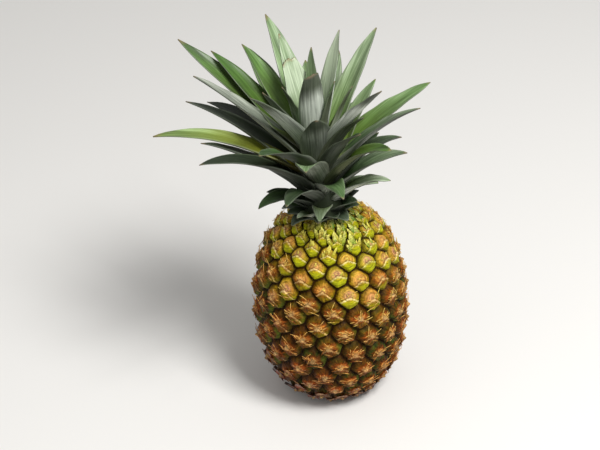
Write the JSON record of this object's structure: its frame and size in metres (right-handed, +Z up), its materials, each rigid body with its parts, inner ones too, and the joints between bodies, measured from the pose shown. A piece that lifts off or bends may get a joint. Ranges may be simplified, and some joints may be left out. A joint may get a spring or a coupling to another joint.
{
  "type": "pineapple",
  "caption": "Whole fresh pineapple with its leafy crown, standing on its flattened base.",
  "frame": {"origin": "centre of the flat spot that the fruit stands on", "axes": "+Z up through the fruit to the crown, +X to the viewer's right, +Y away from the viewer"},
  "size_m": [0.2142, 0.1733, 0.3224],
  "materials": {
    "fruit_skin": "waxy golden-yellow rind with dull green grooves and papery tan bracts",
    "crown_leaf": "stiff satin leaves, green inside, with a silver-grey bloom outside",
    "cut_stalk": "dry fibrous cut end"
  },
  "bodies": {
    "root": {"fruit": "fruit_skin", "crown": "crown_leaf", "stalk_stub": "cut_stalk"}
  },
  "joints": []
}
